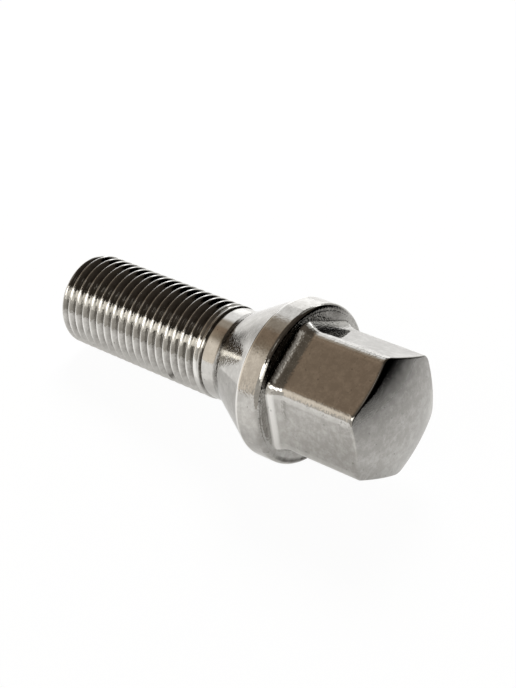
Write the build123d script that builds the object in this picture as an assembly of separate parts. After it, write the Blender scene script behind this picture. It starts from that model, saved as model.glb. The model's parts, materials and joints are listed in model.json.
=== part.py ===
"""Wheel bolt with a 60 degree cone seat: M14 x 1.5 thread, 17 mm hexagon head, one forged piece.

The bolt is modelled upright, tip at the origin and head up the Z axis, and then laid on its side.
It rests on two edges, the thread's first full edge and the rim of the cone seat, with its head raised.
"""
import os
from math import asin, atan2, cos, degrees, hypot, pi, radians, tan

from build123d import *

# Driving dimensions, in millimetres and degrees
# Threaded shank
thread_diameter = 14.0      # outside diameter of the M14 thread, left as a plain cylinder
thread_length = 27.8        # from the end of the tip chamfer to the last turn
tip_diameter = 12.9         # flat end of the shank
tip_chamfer_height = 0.9    # lead-in from the flat end to the full thread
# Plain neck between the thread and the cone seat
neck_diameter = 13.6
neck_length = 2.6
neck_fillet_radius = 1.2    # hollow where the neck runs into the cone
# Cone seat and collar
cone_angle = 60.0           # whole angle of the cone
collar_diameter = 23.3
collar_width = 3.7
seat_edge_radius = 0.3      # edge between the cone and the collar
rim_radius = 0.7            # edge between the collar and its back face
# Hexagon head
across_flats = 17.0
hexagon_height = 13.8       # from the collar's back face to the corners of the end
hexagon_edge_radius = 1.7   # long edges between the flats
dome_rise = 1.73            # middle of the end above its corners
end_edge_radius = 0.2       # edge between the flats and the domed end
foot_spread = 0.8           # how far the foot stands out from each flat
foot_height = 2.4           # from the collar's back face to where the foot runs into the flats
foot_sections = 4           # outlines that the hollow foot passes through
hexagon_turn = 3.2          # lean of the top edge from upright, as the bolt lies

# Heights along the axis, from the flat end of the shank
thread_radius = thread_diameter / 2
neck_radius = neck_diameter / 2
collar_radius = collar_diameter / 2
flat_distance = across_flats / 2
thread_end = tip_chamfer_height + thread_length
neck_start = thread_end + (thread_radius - neck_radius)
neck_end = thread_end + neck_length
half_cone = radians(cone_angle / 2)
cone_end = neck_end + (collar_radius - neck_radius) / tan(half_cone)
collar_back = cone_end + collar_width
foot_end = collar_back + foot_height
corner_height = collar_back + hexagon_height
head_top = corner_height + dome_rise


def shank_and_collar():
    """Turns the half section of the shank, neck, cone and collar round the axis."""
    section = make_face(Polyline(
        (0, 0),
        (tip_diameter / 2, 0),
        (thread_radius, tip_chamfer_height),
        (thread_radius, thread_end),
        (neck_radius, neck_start),
        (neck_radius, neck_end),
        (collar_radius, cone_end),
        (collar_radius, collar_back),
        (0, collar_back),
        close=True,
    ))
    rounded_corners = [
        ((neck_radius, neck_end), neck_fillet_radius),
        ((collar_radius, cone_end), seat_edge_radius),
        ((collar_radius, collar_back), rim_radius),
    ]
    for corner, radius in rounded_corners:
        nearest = section.vertices().sort_by_distance((*corner, 0))[0]
        section = fillet(nearest, radius)
    return revolve(Plane.XZ * section, Axis.Z)


def rounded_hexagon(distance, edge_radius):
    """Hexagon outline with its flats at a distance from the axis and rounded corners, one on the X axis."""
    outline = RegularPolygon(distance, 6, major_radius=False)
    return fillet(outline.vertices(), edge_radius)


def hexagon_foot():
    """Hollow flare on the collar: the outline's spread falls to nothing with the square of the height."""
    outlines = []
    for step in range(foot_sections):
        rise = step / (foot_sections - 1)
        spread = foot_spread * (1 - rise)**2
        outline = rounded_hexagon(flat_distance + spread, hexagon_edge_radius + spread)
        outlines.append(Pos(0, 0, collar_back + rise * foot_height) * outline)
    return loft(outlines)


def hexagon_head():
    """Hexagon prism with a domed end, standing on its hollow foot."""
    corner_reach = (flat_distance - hexagon_edge_radius) / cos(pi / 6) + hexagon_edge_radius
    dome_radius = (corner_reach**2 + dome_rise**2) / (2 * dome_rise)
    outline = Pos(0, 0, foot_end) * rounded_hexagon(flat_distance, hexagon_edge_radius)
    dome = Pos(0, 0, head_top - dome_radius) * Sphere(dome_radius)
    prism = extrude(outline, head_top - foot_end) & dome
    end_edges = prism.faces().sort_by(Axis.Z)[-1].edges()
    return hexagon_foot() + fillet(end_edges, end_edge_radius)


def lying_tilt():
    """Angle of the axis to the ground, from the line that touches the thread's and the seat's edges.

    The seat's edge is an arc, so the line touches a circle of the edge's radius, one radius away from
    the line through its centre.
    """
    arc_shift = seat_edge_radius * tan(half_cone / 2)
    along = cone_end + arc_shift - tip_chamfer_height
    across = collar_radius - seat_edge_radius - thread_radius
    return degrees(atan2(across, along) + asin(seat_edge_radius / hypot(along, across)))


bolt = Rot(0, 0, hexagon_turn) * (shank_and_collar() + hexagon_head())
lying = Rot(0, 90 - lying_tilt(), 0) * bolt
extent = lying.bounding_box()
wheel_bolt = Pos(-extent.center().X, -extent.center().Y, -extent.min.Z) * lying
wheel_bolt.label = "wheel_bolt"

os.makedirs("parts", exist_ok=True)
export_step(wheel_bolt, "parts/wheel_bolt.step")
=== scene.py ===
import json
from math import radians

import bmesh
import bpy
import numpy as np
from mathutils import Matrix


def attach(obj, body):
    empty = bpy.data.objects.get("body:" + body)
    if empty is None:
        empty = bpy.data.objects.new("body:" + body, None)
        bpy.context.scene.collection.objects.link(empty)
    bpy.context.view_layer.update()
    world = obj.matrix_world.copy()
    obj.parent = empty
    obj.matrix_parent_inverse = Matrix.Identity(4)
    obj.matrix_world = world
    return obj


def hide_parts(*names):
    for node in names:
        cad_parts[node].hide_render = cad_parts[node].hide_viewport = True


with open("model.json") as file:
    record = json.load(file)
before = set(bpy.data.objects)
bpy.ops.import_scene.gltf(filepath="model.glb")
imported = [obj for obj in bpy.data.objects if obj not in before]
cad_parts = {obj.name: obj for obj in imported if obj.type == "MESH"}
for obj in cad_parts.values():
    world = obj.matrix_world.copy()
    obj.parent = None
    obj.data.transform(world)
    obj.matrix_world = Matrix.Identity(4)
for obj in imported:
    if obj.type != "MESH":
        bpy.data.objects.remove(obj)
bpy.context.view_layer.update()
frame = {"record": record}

# Ring of angles round the axis
# The bolt is one forged piece, so one skin runs from its tip to the middle of its domed end. All rows of
# that skin share the angles of the hexagon's outline, close together at its six rounded corners. Up to
# where the bolt is laid down, sizes are in millimetres along its axis from the tip, and across it.
across_flats = 17.0
hexagon_edge_radius = 1.7
hexagon_turn = -3.2
corner_steps = 8
flat_steps = 24
flat_gathering = 0.8

corner_normals = -30 + 60 * np.arange(corner_steps) / corner_steps
flat_even = np.arange(flat_steps) / flat_steps
flat_shares = flat_even - flat_gathering * np.sin(2 * np.pi * flat_even) / (2 * np.pi)
side_starts = hexagon_turn + 60 * np.arange(6)[:, None]
normal_angles = side_starts + np.concatenate([corner_normals, np.full(flat_steps, 30)])
corner_angles = np.broadcast_to(side_starts, normal_angles.shape)
shares = np.broadcast_to(np.concatenate([np.zeros(corner_steps), flat_shares]), normal_angles.shape)
normal_angles = np.radians(np.append(normal_angles, normal_angles[0, 0] + 360))
corner_angles = np.radians(np.append(corner_angles, corner_angles[0, 0] + 360))
shares = np.append(shares, shares[0, 0])


def towards(angle):
    """Unit vectors up and beside the axis, at an angle from upright."""
    return np.stack([np.cos(angle), np.sin(angle)], axis=-1)


def hexagon_outline(flat_distance, edge_radius):
    """Rounded hexagon: arcs of the edge radius about six corner centres, and straight runs between them."""
    flat_distance = np.asarray(flat_distance, float)[..., None, None]
    edge_radius = np.asarray(edge_radius, float)[..., None, None]
    reach = (flat_distance - edge_radius) / np.cos(radians(30))
    from_corner = towards(corner_angles) * (1 - shares)[:, None]
    to_next_corner = towards(corner_angles + radians(60)) * shares[:, None]
    return reach * (from_corner + to_next_corner) + edge_radius * towards(normal_angles)


main_outline = hexagon_outline(across_flats / 2, hexagon_edge_radius)
turn = np.unwrap(np.arctan2(main_outline[:, 1], main_outline[:, 0]))


def turned(along, radius):
    """Rows of circles round the axis, each at its height along the axis and with its radius."""
    along = np.asarray(along, float)
    radius = np.asarray(radius, float)
    if along.ndim == 1:
        along = along[:, None] + 0 * turn
        radius = radius[:, None] + 0 * turn
    return np.stack([along, radius * np.cos(turn), radius * np.sin(turn)], axis=-1)


# Threaded shank
# M14 x 1.5 right-hand thread, rolled between dies into the steel blank. Its grooves get shallow over about
# the last turn, where the dies run out, and a narrow undercut ends it. Its tip has a turned lead-in.
thread_radius = 7.0
thread_length = 27.8
pitch = 1.5
groove_depth = 0.92
root_half_width = 0.1
root_rounding = 0.2
crest_rounding = 0.16
tip_radius = 6.45
tip_chamfer_height = 0.9
tip_edge_rounding = 0.25
neck_radius = 6.8
neck_step_reach = 0.2
thread_end = tip_chamfer_height + thread_length
runout_start = 27.2
runout_end = 28.6
undercut_place = 28.6
undercut_depth = 0.22
undercut_reach = 0.16
thread_zone_end = 29.4
crest_place = 0.22
rows_per_pitch = 16
row_gathering = 0.5
spare_turns = 3


def smooth_max(first, second, width):
    """The larger of two arrays with a round bend: half of their sum and of a gap no less than the width."""
    return (first + second + np.sqrt((first - second) ** 2 + width**2)) / 2


def smooth_step(value, start, end):
    """Eases from 0 at start to 1 at end: three times the share's square less twice its cube."""
    share = np.clip((value - start) / (end - start), 0, 1)
    return share**2 * (3 - 2 * share)


def undercut_share(along):
    """One in the middle of the undercut, falling away on both sides as a bell curve."""
    return np.exp(-((along - undercut_place) / undercut_reach) ** 2)


def thread_radius_at(along, angle):
    """Radius of the thread: the blank's outline less a groove that climbs one pitch in each turn.

    The groove is a 60 degree V with a narrow round bottom, measured from the middle of its bottom.
    """
    climbed = along + pitch * angle / (2 * np.pi) - crest_place
    from_bottom = np.abs(climbed % pitch - pitch / 2)
    depth_here = groove_depth * (1 - smooth_step(along, runout_start, runout_end))
    side_rise = smooth_max(from_bottom - root_half_width, 0, root_rounding) / np.tan(radians(30))
    groove = smooth_max(depth_here - side_rise, 0, crest_rounding)
    lead_in = tip_radius + (thread_radius - tip_radius) * along / tip_chamfer_height
    lead_in = lead_in - tip_edge_rounding * np.clip(1 - along / tip_edge_rounding, 0, 1) ** 2
    neck_share = smooth_step(along, undercut_place - neck_step_reach, undercut_place + neck_step_reach)
    blank = np.minimum(thread_radius, lead_in)
    blank = blank - (thread_radius - neck_radius) * neck_share - undercut_depth * undercut_share(along)
    return np.minimum(blank, thread_radius - groove)


def thread_rows():
    """Skin of the shank: rows run along the helix, and are cut off square at the tip and at the neck.

    They begin a turn before the tip. In each pitch they lie closer together at the crest and at the bottom
    of the groove.
    """
    turns = int(np.ceil(thread_zone_end / pitch)) + spare_turns
    even = np.arange(turns * rows_per_pitch) / rows_per_pitch
    starts = even - row_gathering * np.sin(4 * np.pi * even) / (4 * np.pi) - 1
    along = crest_place + pitch * (starts[:, None] - turn / (2 * np.pi))
    along = np.clip(along, 0, thread_zone_end)
    return turned(along, thread_radius_at(along, turn))


def tip_rows():
    """Flat end of the shank: rings that widen from the axis to the edge of the lead-in."""
    widths = np.array([0, 0.3, 0.6, 0.85, 0.95, 0.99])[:, None]
    edge = thread_radius_at(0 * turn, turn)
    return turned(0 * widths * turn, widths * edge)


# Neck, cone seat and collar
# The plain neck runs through a hollow into a 60 degree cone that seats in the wheel, and the cone ends
# in a round collar. All are forged with the head and turned to size, with slightly rounded edges.
neck_end = 31.3
neck_hollow_radius = 1.2
cone_end = 39.7
collar_radius = 11.65
collar_back = 43.4
seat_edge_radius = 0.3
rim_radius = 0.7
crease_depth = 0.06


def straight(start, end, steps):
    """Points from start up to end along a line: even steps less a sine, so they are closer near both."""
    even = np.arange(steps) / steps
    share = even - flat_gathering * np.sin(2 * np.pi * even) / (2 * np.pi)
    return np.array(start) + share[:, None] * (np.array(end) - np.array(start))


def rounded(before, corner, after, radius, steps):
    """Arc that touches the two lines that meet at a corner, about a centre halfway between them."""
    before, corner, after = (np.array(point, float) for point in (before, corner, after))
    back = (before - corner) / np.linalg.norm(before - corner)
    on = (after - corner) / np.linalg.norm(after - corner)
    half_angle = np.arccos(back @ on) / 2
    centre = corner + (back + on) / np.linalg.norm(back + on) * radius / np.sin(half_angle)
    first = corner + back * radius / np.tan(half_angle) - centre
    last = corner + on * radius / np.tan(half_angle) - centre
    share = np.linspace(0, 1, steps + 1)[:, None]
    sweep = np.pi - 2 * half_angle
    return centre + (np.sin((1 - share) * sweep) * first + np.sin(share * sweep) * last) / np.sin(sweep)


def collar_rows():
    """Rings of the neck, cone and collar: a profile of lines and arcs carried round the axis."""
    neck_start = (thread_zone_end, neck_radius)
    neck_corner = (neck_end, neck_radius)
    seat_corner = (cone_end, collar_radius)
    rim_corner = (collar_back, collar_radius)
    back_inner = (collar_back, across_flats / 2)
    hollow = rounded(neck_start, neck_corner, seat_corner, neck_hollow_radius, 8)
    seat_edge = rounded(neck_corner, seat_corner, rim_corner, seat_edge_radius, 6)
    rim = rounded(seat_corner, rim_corner, back_inner, rim_radius, 10)
    profile = np.concatenate([
        straight(neck_start, hollow[0], 4),
        hollow,
        straight(hollow[-1], seat_edge[0], 16)[1:],
        seat_edge,
        straight(seat_edge[-1], rim[0], 10)[1:],
        rim,
    ])
    return turned(profile[:, 0], profile[:, 1])


# Hexagon head
# A 17 mm hexagon for the wheel wrench, forged in one with the collar. Its foot flares out on to the
# collar's back face, its long edges are rounded, and its end is domed.
foot_spread = 0.8
foot_height = 2.4
hexagon_height = 13.8
dome_rise = 1.73
end_edge_radius = 0.2
corner_height = collar_back + hexagon_height
head_top = corner_height + dome_rise
corner_reach = (across_flats / 2 - hexagon_edge_radius) / np.cos(radians(30)) + hexagon_edge_radius
dome_radius = (corner_reach**2 + dome_rise**2) / (2 * dome_rise)


def hexagonal(along, outlines):
    """Rows of outlines, each at its height along the axis."""
    along = np.asarray(along, float)
    if along.ndim == 1:
        along = along[:, None] + 0 * turn
    return np.concatenate([along[..., None], outlines], axis=-1)


def back_face_rows():
    """Back of the collar: rings that change evenly from the rim's circle to the foot's hexagon.

    A fine crease, left by forging, runs round where the rim ends.
    """
    circle = (collar_radius - rim_radius) * towards(turn)
    foot = hexagon_outline(across_flats / 2 + foot_spread, hexagon_edge_radius + foot_spread)
    share = np.array([0.04, 0.08, 0.12, 0.3, 0.7, 0.96, 1])
    crease = np.array([0.3, 1, 0.1, 0, 0, 0, 0]) * crease_depth
    outlines = circle + share[:, None, None] * (foot - circle)
    return hexagonal(collar_back - crease, outlines)


def dome_height(outline):
    """Height of the domed end over points beside the axis: part of a sphere."""
    return head_top - dome_radius + np.sqrt(dome_radius**2 - (outline**2).sum(-1))


def foot_and_flat_rows():
    """Sides of the hexagon: the foot's spread falls as the square of the height left, then plain flats."""
    rise = np.linspace(0, 1, 12) ** 1.3
    spread = foot_spread * (1 - rise) ** 2
    along = collar_back + foot_height * rise
    flat_start = collar_back + foot_height
    flat_top = dome_height(main_outline)[None] - end_edge_radius
    climb = np.array([0.03, 0.2, 0.4, 0.6, 0.8, 0.97])[:, None]
    foot = hexagonal(along, hexagon_outline(across_flats / 2 + spread, hexagon_edge_radius + spread))
    flat_outlines = np.broadcast_to(main_outline, (len(climb), *main_outline.shape))
    flat = hexagonal(flat_start + climb * (flat_top - flat_start), flat_outlines)
    return np.concatenate([foot[1:], flat])


def end_rows():
    """Domed end: a quarter arc turns each flat into the dome, and the outline then shrinks to the axis."""
    quarter = np.linspace(0, np.pi / 2, 7)
    inset = end_edge_radius * (1 - np.cos(quarter))
    drop = end_edge_radius * (1 - np.sin(quarter))
    edge = hexagon_outline(across_flats / 2 - inset, hexagon_edge_radius - inset)
    shrink = np.array([0.99, 0.97, 0.94, *np.linspace(0.9, 0, 16)])[:, None, None]
    dome = shrink * edge[-1]
    edge_rows = hexagonal(dome_height(edge) - drop[:, None], edge)
    return np.concatenate([edge_rows, hexagonal(dome_height(dome), dome)])


# How the bolt lies
# The bolt lies on its side, on the first full edge of its thread and on the rim of its cone seat, so its
# axis leans a few degrees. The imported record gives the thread's middle and direction, and all follows those.
millimetre = 0.001
thread_mount = next(mount for mount in frame["record"]["mounts"] if mount["name"] == "thread")
along_axis = -np.array(thread_mount["axis"])
up_axis = np.array([-along_axis[2], 0, along_axis[0]])
side_axis = np.array([0, 1, 0])
thread_middle = np.array(thread_mount["pos_m"]) / millimetre
tip_centre = thread_middle - along_axis * (tip_chamfer_height + thread_length / 2)


def laid(points):
    """Points given as millimetres along, up and beside the bolt's axis, in metres where the bolt lies."""
    directions = np.stack([along_axis, up_axis, side_axis])
    return (points @ directions + tip_centre) * millimetre


# Skin of the bolt, how it is worn, and its painted light and shade
# All rows together are one closed surface, because the bolt is one piece of cold-headed steel. Four values
# at each of its points say how hazed, dirty, grainy and matt its plating has become there. The haze and
# dirt values also carry painted highlights and painted shade.
weld_distance = 0.0001
skin_rows = np.concatenate([
    tip_rows(),
    thread_rows(),
    collar_rows(),
    back_face_rows(),
    foot_and_flat_rows(),
    end_rows(),
])
along_bolt = skin_rows[..., 0]
above_back = along_bolt - collar_back
from_axis = np.hypot(skin_rows[..., 1], skin_rows[..., 2])
up_share = skin_rows[..., 1] / np.maximum(from_axis, 1e-6)
round_bolt = np.degrees(np.arctan2(skin_rows[..., 2], skin_rows[..., 1]))


def zone(value, rise, fall):
    """Eases from 0 to 1 over the first pair of limits, and back to 0 over the second."""
    return smooth_step(value, *rise) * (1 - smooth_step(value, *fall))


def patch(place, reach, power):
    """Soft patch round a place, in millimetres along the bolt and degrees from upright.

    It falls away as a bell curve for a power of 2, and with a flat middle and steeper sides for 4.
    """
    along = (along_bolt - place[0]) / reach[0]
    aside = (round_bolt - place[1]) / reach[1]
    return np.exp(-along**power - aside**power)


def strongest(*parts):
    """The largest of several arrays at each point."""
    return np.maximum.reduce(parts)


# The thread's crests are rubbed bright, and its grooves carry painted shade. Its underside carries a painted
# brightening, and one smear of dirt
on_thread = 1 - smooth_step(along_bolt, thread_end - 0.2, thread_end)
off_underside = smooth_step(up_share, -0.7, 0.1)
below_crest = np.clip((thread_radius - from_axis) / groove_depth, 0, 1)
worn_crest = on_thread * off_underside * (1 - smooth_step(below_crest, 0.03, 0.12))
# Painted shade in the thread's grooves, off the underside
painted_groove_shade = on_thread * off_underside * smooth_step(below_crest, 0.25, 0.85)
# Painted light: the thread's underside is left clearer, so it shows brighter
painted_bright_underside = on_thread * (1 - off_underside)
smear = patch((22, -115), (0.9, 7), 2)

# The undercut and the hollow are darkened, and a patch of the cone in front is pitted and holds a painted dark
# reflection
in_undercut = undercut_share(along_bolt) * (0.2 + 0.8 * off_underside)
in_hollow = zone(along_bolt, (neck_end - 0.4, neck_end), (32, 33.5))
low_in_hollow = in_hollow * (1 - smooth_step(up_share, 0.1, 0.5))
on_neck = zone(along_bolt, (thread_end - 0.2, thread_end + 0.3), (neck_end - 0.4, neck_end))
pitted = patch((34, -45), (3.2, 17), 4)
# Painted dark reflection of the thread's dark upper side, on the cone in front
painted_reflection_on_cone = patch((34, -36), (3.2, 9), 4)
on_seat_edge = 1 - smooth_step(np.abs(along_bolt - cone_end), 0.1, 0.25)

# The collar's back is rough as forged and dirtiest on top. It carries painted shade beside the front flat and
# in its crease underneath
rim_inside = collar_radius - rim_radius
on_collar = zone(along_bolt, (cone_end, cone_end + 0.4), (collar_back - 0.1, collar_back))
on_back = zone(above_back, (-0.12, -0.02), (0.02, 0.25))
on_top_of_back = on_back * smooth_step(up_share, 0.6, 0.8)
# Painted shade in the gap beside the front flat
painted_shade_beside_front = zone(above_back, (-0.12, -0.02), (0.3, 0.7)) * zone(-round_bolt, (5, 20), (58, 66))
near_crease = smooth_step(from_axis, rim_inside - 0.35, rim_inside - 0.1)
# Painted shade in the crease on the underside
painted_shade_in_crease = on_back * near_crease * smooth_step(-up_share, 0.5, 0.75)

# The hexagon's foot is grainy, with a painted highlight at its root. Its long edges are rubbed, and two flats
# carry painted shade
side_end = (13.4, 13.7)
# Painted highlight: a band at the foot's root is left clear, so it shows as a bright strip
painted_bright_root = zone(above_back, (0.05, 0.25), (0.7, 1.1))
on_foot = zone(above_back, (0, 0.2), (1.6, 2.8))
dirty_foot = on_foot * zone(-round_bolt, (25, 50), (60, 66))
near_low_foot = zone(above_back, (0, 0.2), (5, 7)) * (1 - smooth_step(up_share, 0.4, 0.5))
near_long_edge = 1 - smooth_step(np.minimum(shares, 1 - shares), 0, 0.05)
on_long_edge = near_long_edge * zone(above_back, (0, 1), side_end)
# Painted shade darkens the top flat and the low flat
painted_shade_on_top_flat = zone(above_back, (0.7, 1.3), side_end) * zone(round_bolt, (-3, 0), (53, 56))
painted_shade_on_low_flat = zone(above_back, (2, 4), side_end) * zone(round_bolt, (-121, -118), (-68, -65))

# Haze, less what is rubbed clean, and less the painted brightening of the thread's underside and the foot's
# root
haze_and_sheen = 1 - strongest(
    painted_bright_root,
    worn_crest,
    on_seat_edge,
    0.3 * on_long_edge,
    0.3 * on_neck * (1 - in_hollow),
    0.35 * painted_bright_underside,
)
# Dirt, with painted shade in grooves, gaps and crease and on two flats, and a painted dark reflection on the
# cone
dirt_and_shade = (
    strongest(0.65 * on_top_of_back, 0.9 * painted_shade_beside_front, 0.8 * painted_shade_in_crease, 0.1 * dirty_foot)
    + strongest(1.2 * in_undercut, 0.4 * in_hollow, 0.1 * pitted, 0.9 * painted_reflection_on_cone)
    + 0.65 * painted_groove_shade
    + 0.8 * smear
    + 0.4 * painted_shade_on_top_flat
    + 0.07 * painted_shade_on_low_flat
)
coarse = (
    on_back
    + strongest(0.5 * on_foot, 0.3 * on_long_edge)
    + 0.2 * on_collar
    + 0.3 * pitted
    + 0.3 * low_in_hollow
    + 0.12 * on_thread * off_underside
)
mirror_roughness = 0.04
matt = (
    mirror_roughness
    + 0.1 * on_back
    + 0.1 * worn_crest
    + strongest(0.1 * on_foot, 0.14 * near_low_foot, 0.08 * on_long_edge)
)


def closed_mesh(name, rows, **attributes):
    """Mesh of a grid of rows of points, with its seam, its two poles and its cut rows welded shut."""
    row_count, column_count = rows.shape[:2]
    index = np.arange(row_count * column_count).reshape(row_count, column_count)
    corners = [index[:-1, :-1], index[:-1, 1:], index[1:, 1:], index[1:, :-1]]
    faces = np.stack(corners, axis=-1).reshape(-1, 4)
    mesh = bpy.data.meshes.new(name)
    mesh.from_pydata(rows.reshape(-1, 3), [], faces)
    for attribute, values in attributes.items():
        mesh.attributes.new(attribute, "FLOAT", "POINT").data.foreach_set("value", values.ravel())
    welded = bmesh.new()
    welded.from_mesh(mesh)
    bmesh.ops.remove_doubles(welded, verts=welded.verts, dist=weld_distance * millimetre)
    bmesh.ops.recalc_face_normals(welded, faces=welded.faces)
    welded.to_mesh(mesh)
    welded.free()
    mesh.polygons.foreach_set("use_smooth", np.ones(len(mesh.polygons), bool))
    return mesh


def in_scene(name, data):
    """New object in the scene, at the origin, made of a mesh, a lamp or a camera."""
    thing = bpy.data.objects.new(name, data)
    bpy.context.scene.collection.objects.link(thing)
    return thing


wear_and_painted_light = {"haze_and_sheen": haze_and_sheen, "dirt_and_shade": dirt_and_shade, "coarse": coarse, "matt": matt}
bolt_mesh = closed_mesh("plated_wheel_bolt", laid(skin_rows), **wear_and_painted_light)
bolt = in_scene("plated_wheel_bolt", bolt_mesh)
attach(bolt, "root")
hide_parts("wheel_bolt")

# Plating of the bolt
# A thin coat of bright chromium over the forged steel, laid on in a bath. It mirrors the room, and follows
# every wave and grain of the steel under it. Sizes are in millimetres, and heights are those of the relief.
clean_colour = "#ECEBE8"
hazed_colour = "#B5B3AF"
# Colour of dirt, and of the painted shade and the painted dark reflection
dirt_and_shade_colour = "#49453F"
stain_size = 1.2
stain_strengths = (0.65, 1.15)
speck_size = 0.5
speck_threshold = 0.7
speck_softness = 0.08
speck_strength = 0.4
wave_length = 3.0
wave_height = 0.014
coarse_wave_height = 0.04
# The real grain is finer than the picture can show, so it is drawn this coarse
grain_size = 0.3
grain_height = 0.0012
coarse_grain_height = 0.05


def linear(colour):
    """An sRGB hex colour as linear red, green, blue and full opacity."""
    channels = np.array([int(colour[place:place + 2], 16) for place in (1, 3, 5)]) / 255
    light = np.where(channels <= 0.04045, channels / 12.92, ((channels + 0.055) / 1.055) ** 2.4)
    return (*light, 1)


def add_node(tree, kind, links=(), inputs=(), **settings):
    """Adds a node with its settings, input values and links, each link as (input, node, output)."""
    node = tree.nodes.new(kind)
    for name, value in settings.items():
        setattr(node, name, value)
    for name, value in dict(inputs).items():
        node.inputs[name].default_value = value
    for name, source, output in links:
        tree.links.new(source.outputs[output], node.inputs[name])
    return node


def bright_plating():
    """Bright chromium on forged steel: a mirror, slightly wavy, dulled where hazy, darkened by dirt and
    painted shade.

    The mesh's own values say where. Haze is all over, in cloudy stains, but for what is rubbed clean and for
    the painted highlights and painted brightening where it is left off. Dirt and painted shade have the same
    stains, and there are a few specks all over. The steel's waves and grain are higher where it is coarse.
    """
    material = bpy.data.materials.new("bright_chromium_plating")
    material.use_nodes = True
    tree = material.node_tree
    plating = tree.nodes["Principled BSDF"]
    plating.inputs["Metallic"].default_value = 1
    place = add_node(tree, "ShaderNodeTexCoord")
    haze_and_sheen_value = add_node(tree, "ShaderNodeAttribute", attribute_name="haze_and_sheen")
    dirt_and_shade_value = add_node(tree, "ShaderNodeAttribute", attribute_name="dirt_and_shade")
    rough = add_node(tree, "ShaderNodeAttribute", attribute_name="coarse")
    dulled = add_node(tree, "ShaderNodeAttribute", attribute_name="matt")
    stains = add_node(tree, "ShaderNodeTexNoise", [("Vector", place, "Object")],
                      {"Scale": 1 / (stain_size * millimetre), "Detail": 8, "Roughness": 0.75})
    patchy = add_node(tree, "ShaderNodeMapRange", [("Value", stains, "Fac")],
                      {"From Min": 0.35, "From Max": 0.65,
                       "To Min": stain_strengths[0], "To Max": stain_strengths[1]})
    dull = add_node(tree, "ShaderNodeMath", [(0, haze_and_sheen_value, "Fac"), (1, patchy, "Result")], operation="MULTIPLY")
    film = add_node(tree, "ShaderNodeMix", [(0, dull, 0)],
                    {6: linear(clean_colour), 7: linear(hazed_colour)}, data_type="RGBA")
    dots = add_node(tree, "ShaderNodeTexNoise", [("Vector", place, "Object")],
                    {"Scale": 1 / (speck_size * millimetre), "Detail": 1})
    specks = add_node(tree, "ShaderNodeMapRange", [("Value", dots, "Fac")],
                      {"From Min": speck_threshold, "From Max": speck_threshold + speck_softness,
                       "To Max": speck_strength})
    stained_dirt_and_shade = add_node(tree, "ShaderNodeMath", [(0, dirt_and_shade_value, "Fac"), (1, patchy, "Result")],
                       operation="MULTIPLY")
    dirt_shade_and_specks = add_node(tree, "ShaderNodeMath", [(0, stained_dirt_and_shade, 0), (1, specks, "Result")], operation="MAXIMUM")
    colour = add_node(tree, "ShaderNodeMix", [(0, dirt_shade_and_specks, 0), (6, film, 2)], {7: linear(dirt_and_shade_colour)},
                      data_type="RGBA")
    waves = add_node(tree, "ShaderNodeTexNoise", [("Vector", place, "Object")],
                     {"Scale": 1 / (wave_length * millimetre), "Detail": 1})
    swell = add_node(tree, "ShaderNodeMapRange", [("Value", rough, "Fac")],
                     {"To Min": wave_height * millimetre, "To Max": coarse_wave_height * millimetre})
    wavy = add_node(tree, "ShaderNodeBump", [("Height", waves, "Fac"), ("Distance", swell, 0)])
    grain = add_node(tree, "ShaderNodeTexNoise", [("Vector", place, "Object")],
                     {"Scale": 1 / (grain_size * millimetre), "Detail": 0})
    relief = add_node(tree, "ShaderNodeMapRange", [("Value", rough, "Fac")],
                      {"To Min": grain_height * millimetre, "To Max": coarse_grain_height * millimetre})
    grained = add_node(tree, "ShaderNodeBump",
                       [("Height", grain, "Fac"), ("Normal", wavy, "Normal"), ("Distance", relief, 0)])
    tree.links.new(colour.outputs[2], plating.inputs["Base Color"])
    tree.links.new(dulled.outputs["Fac"], plating.inputs["Roughness"])
    tree.links.new(grained.outputs["Normal"], plating.inputs["Normal"])
    return material


bolt_mesh.materials.append(bright_plating())

# White sheet
# The bolt lies on a sheet of matt white card. The camera sees the card's own white with the bolt's faint
# shadow, and the metal sees a painted pool of light on the card, fading with distance into the room around it.
sheet_reach = 900.0
paper_colour = "#F4F4F4"
own_white = 0.96
painted_pool_white = 1.05
lamplit_share = 0.5
painted_pool_middle = (-75.0, -8.0, 0.0)
painted_pool_radius = 150.0
painted_pool_power = 4
edge_distance = 121.0


def seen_directly(tree, path):
    """One for rays from the camera or by way of metal or glass, and nought for the soft light between."""
    metal = add_node(tree, "ShaderNodeMath", [(0, path, "Is Camera Ray"), (1, path, "Is Glossy Ray")],
                     operation="MAXIMUM")
    return add_node(tree, "ShaderNodeMath", [(0, metal, 0), (1, path, "Is Transmission Ray")],
                    operation="MAXIMUM")


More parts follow.
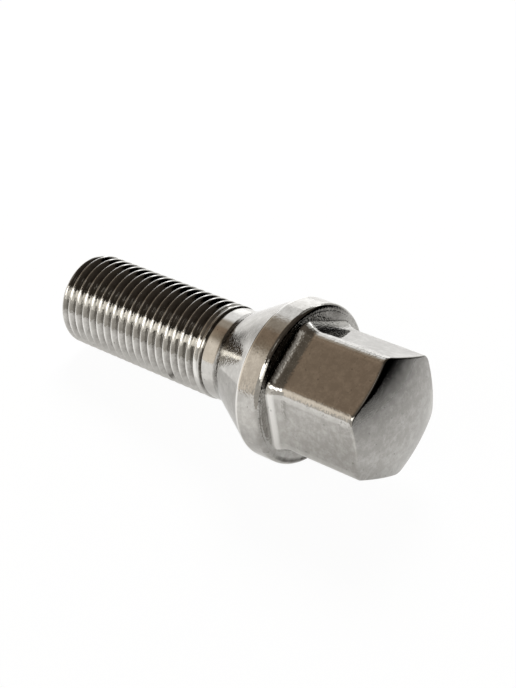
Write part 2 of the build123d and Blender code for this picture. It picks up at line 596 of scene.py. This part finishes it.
def white_card_finish():
    """Matt white card: a diffuse white, mixed with its own even white where it is seen directly.

    In the metal it shows a painted pool of light, brightest at the left of the bolt. From there the painted
    light falls with a power of the distance, and it stops at a slanting edge at the right. The room shows
    through where it is faint or ends.
    """
    material = bpy.data.materials.new("matt_white_card")
    material.use_nodes = True
    tree = material.node_tree
    tree.nodes.remove(tree.nodes["Principled BSDF"])
    path = add_node(tree, "ShaderNodeLightPath")
    paper = add_node(tree, "ShaderNodeBsdfDiffuse", inputs={"Color": linear(paper_colour)})
    white = add_node(tree, "ShaderNodeEmission")
    share = add_node(tree, "ShaderNodeMath", [(0, seen_directly(tree, path), 0)], {1: own_white},
                     operation="MULTIPLY")
    in_view = add_node(tree, "ShaderNodeMixShader", [(0, share, 0), (1, paper, 0), (2, white, 0)])
    place = add_node(tree, "ShaderNodeTexCoord")
    # Painted pool of light for the metal: it falls with a power of the distance from its middle
    aside = add_node(tree, "ShaderNodeVectorMath", [(0, place, "Object")],
                     {1: np.array(painted_pool_middle) * millimetre}, operation="SUBTRACT")
    distance = add_node(tree, "ShaderNodeVectorMath", [(0, aside, "Vector")], operation="LENGTH")
    steps = add_node(tree, "ShaderNodeMath", [(0, distance, "Value")], {1: painted_pool_radius * millimetre},
                     operation="DIVIDE")
    raised = add_node(tree, "ShaderNodeMath", [(0, steps, 0)], {1: painted_pool_power}, operation="POWER")
    fall = add_node(tree, "ShaderNodeMath", [(0, raised, 0)], {1: 1}, operation="ADD")
    pool = add_node(tree, "ShaderNodeMath", [(1, fall, 0)], {0: 1}, operation="DIVIDE")
    sides = add_node(tree, "ShaderNodeSeparateXYZ", [("Vector", place, "Object")])
    slant = add_node(tree, "ShaderNodeMath", [(0, sides, "X"), (1, sides, "Y")], operation="SUBTRACT")
    within = add_node(tree, "ShaderNodeMath", [(0, slant, 0)], {1: edge_distance * millimetre},
                      operation="LESS_THAN")
    on_card = add_node(tree, "ShaderNodeMath", [(0, pool, 0), (1, within, 0)], operation="MULTIPLY")
    beyond = add_node(tree, "ShaderNodeBsdfTransparent")
    # Half painted glow, half the lamp-lit paper, shown in the metal as far as the painted pool reaches
    even = add_node(tree, "ShaderNodeEmission", inputs={"Strength": painted_pool_white})
    near = add_node(tree, "ShaderNodeMixShader", [(1, even, 0), (2, paper, 0)], {0: lamplit_share})
    in_metal = add_node(tree, "ShaderNodeMixShader", [(0, on_card, 0), (1, beyond, 0), (2, near, 0)])
    mixed = add_node(tree, "ShaderNodeMixShader",
                     [(0, path, "Is Glossy Ray"), (1, in_view, 0), (2, in_metal, 0)])
    tree.links.new(mixed.outputs[0], tree.nodes["Material Output"].inputs["Surface"])
    return material


sheet_corners = np.array([(-1, -1, 0), (1, -1, 0), (1, 1, 0), (-1, 1, 0)]) * sheet_reach * millimetre
sheet_mesh = bpy.data.meshes.new("white_sheet")
sheet_mesh.from_pydata(sheet_corners, [], [(0, 1, 2, 3)])
sheet_mesh.materials.append(white_card_finish())
in_scene("white_sheet", sheet_mesh)

# Studio room
# A large round room, matt brown-grey, with a soft light and pale walls in front of the bolt, white cards
# behind it, tan and cream ones at its left and an unlit corner at its right. It glows by itself, and the
# camera sees it only in the metal.
room_radius = 1500.0
room_colour = "#4F4840"
room_parts = [
    # what it is, colour, strength, azimuths, elevations and softness in degrees
    ("dim ceiling at the left", "#675F55", 1.0, (200, 290), (50, 75), 14),
    ("brown wall at the left", "#93816F", 1.0, (144, 212), (36, 58), 16),
    ("tan wall beside it", "#ADA396", 1.0, (146, 176), (36, 54), 14),
    ("tan wall in front of it", "#B0A28F", 1.0, (194, 220), (8, 42), 14),
    ("table at the left", "#E8E0D4", 1.0, (190, 240), (-40, 10), 16),
    ("cream card at the left", "#F8EDDE", 1.0, (213, 240), (-40, 42), 16),
    ("grey wall behind", "#A09F9B", 1.0, (82, 120), (30, 54), 10),
    ("pale wall below it", "#C2C1BE", 1.0, (81, 120), (-40, 34), 5),
    ("bright strip on it", "#FFFFFF", 2.6, (90, 110), (21, 31), 6),
    ("white card behind", "#FFFFFF", 1.6, (108, 135), (-40, 27), 6),
    ("white card beside it", "#FFFFFF", 1.2, (133, 146), (-40, 32), 12),
    ("white card above it", "#FFFFFF", 1.1, (131, 153), (28, 44), 14),
    ("pale wall in front", "#BEBAB3", 1.0, (236, 348), (-40, 25), 6),
    ("soft light", "#FFFCF5", 3.4, (238, 316), (27, 44), 7),
    ("right end of the soft light", "#FFFCF5", 1.8, (306, 337), (17, 33), 6),
    ("pale card at the right", "#FFFBF2", 1.1, (330, 350), (10, 28), 5),
    ("pale patch overhead", "#C4BFB8", 1.0, (294, 330), (61, 74), 14),
    ("dim wall at the right", "#3B352F", 1.0, (-20, 80), (20, 62), 8),
    ("unlit corner", "#000000", 1.0, (-12, 80), (-60, 26), 5),
]


def round_room(name, radius):
    """Sphere round the origin, as rows of circles from pole to pole."""
    latitude = np.linspace(-np.pi / 2, np.pi / 2, 33)[:, None]
    longitude = np.linspace(0, 2 * np.pi, 65)
    rows = np.stack([np.cos(latitude) * np.cos(longitude), np.cos(latitude) * np.sin(longitude),
                     np.sin(latitude) + 0 * longitude], axis=-1)
    return closed_mesh(name, rows * radius * millimetre)


def softly_between(tree, bearing, limits, softness):
    """One between two limits of a compass angle or a height, and nought outside, with soft borders."""
    low, high = np.radians(limits)
    half = (high - low) / 2
    border = radians(softness) / 2
    aside = add_node(tree, "ShaderNodeMath", [(0, bearing, 0)], {1: (low + high) / 2}, operation="SUBTRACT")
    wrapped = add_node(tree, "ShaderNodeMath", [(0, aside, 0)], {1: np.pi, 2: -np.pi}, operation="WRAP")
    distance = add_node(tree, "ShaderNodeMath", [(0, wrapped, 0)], operation="ABSOLUTE")
    return add_node(tree, "ShaderNodeMapRange", [("Value", distance, 0)],
                    {"From Min": half + border, "From Max": half - border}, interpolation_type="SMOOTHSTEP")


def room_finish():
    """Walls, cards and soft light of the room, painted over each other by compass angle and by height."""
    material = bpy.data.materials.new("studio_room")
    material.use_nodes = True
    tree = material.node_tree
    tree.nodes.remove(tree.nodes["Principled BSDF"])
    place = add_node(tree, "ShaderNodeTexCoord")
    sides = add_node(tree, "ShaderNodeSeparateXYZ", [("Vector", place, "Object")])
    compass = add_node(tree, "ShaderNodeMath", [(0, sides, "Y"), (1, sides, "X")], operation="ARCTAN2")
    level = add_node(tree, "ShaderNodeMath", [(0, sides, "Z")], {1: room_radius * millimetre},
                     operation="DIVIDE")
    height = add_node(tree, "ShaderNodeMath", [(0, level, 0)], operation="ARCSINE")
    under = []
    for name, colour, strength, azimuths, elevations, softness in room_parts:
        across = softly_between(tree, compass, azimuths, softness)
        upright = softly_between(tree, height, elevations, softness)
        both = add_node(tree, "ShaderNodeMath", [(0, across, 0), (1, upright, 0)], operation="MULTIPLY")
        lit = (*(strength * np.array(linear(colour)[:3])), 1)
        painted = add_node(tree, "ShaderNodeMix", [(0, both, 0), *under], {6: linear(room_colour), 7: lit},
                           label=name, data_type="RGBA", clamp_result=False)
        under = [(6, painted, 2)]
    glow = add_node(tree, "ShaderNodeEmission", [("Color", painted, 2)])
    tree.links.new(glow.outputs[0], tree.nodes["Material Output"].inputs["Surface"])
    material.cycles.emission_sampling = "NONE"
    return material


room_mesh = round_room("studio_room", room_radius)
room_mesh.materials.append(room_finish())
room = in_scene("studio_room", room_mesh)
room.visible_camera = False

# Soft lamp and white surround
# A round soft lamp high behind the bolt at its left lights the sheet and throws the bolt's faint shadow.
# Past the sheet the camera sees plain white, which lights nothing.
lamp_width = 300.0
lamp_power = 4
lamp_place = (-250.0, 350.0, 500.0)
lamp_data = bpy.data.lights.new("soft_lamp", "AREA")
lamp_data.shape = "DISK"
lamp_data.size = lamp_width * millimetre
lamp_data.energy = lamp_power
lamp = in_scene("soft_lamp", lamp_data)
lamp.location = np.array(lamp_place) * millimetre
lamp.rotation_euler = (-lamp.location).to_track_quat("-Z", "Y").to_euler()
lamp.visible_glossy = False
lamp.visible_camera = False

world = bpy.data.worlds.new("white_surround")
bpy.context.scene.world = world
world.use_nodes = True
surround = world.node_tree.nodes["Background"]
surround.inputs["Color"].default_value = (1, 1, 1, 1)
world_path = add_node(world.node_tree, "ShaderNodeLightPath")
in_sight = seen_directly(world.node_tree, world_path)
world.node_tree.links.new(in_sight.outputs[0], surround.inputs["Strength"])

# Camera
# A long lens from the head's side and from above, as the photograph was taken. Its place, from the middle of
# the bolt's tip, and its angles come from fitting the bolt's outline to the photograph's.
camera_from_tip = (150.870, -136.749, 143.542)
camera_azimuth = 40.699
camera_elevation = 37.042
camera_data = bpy.data.cameras.new("camera")
camera_data.sensor_width = 36
camera_data.lens = 84.756
camera_data.clip_start = 0.01
camera = in_scene("camera", camera_data)
camera.location = (tip_centre + camera_from_tip) * millimetre
camera.rotation_euler = (radians(90 - camera_elevation), 0, radians(camera_azimuth))
bpy.context.scene.camera = camera
bpy.context.scene.view_settings.view_transform = "Standard"
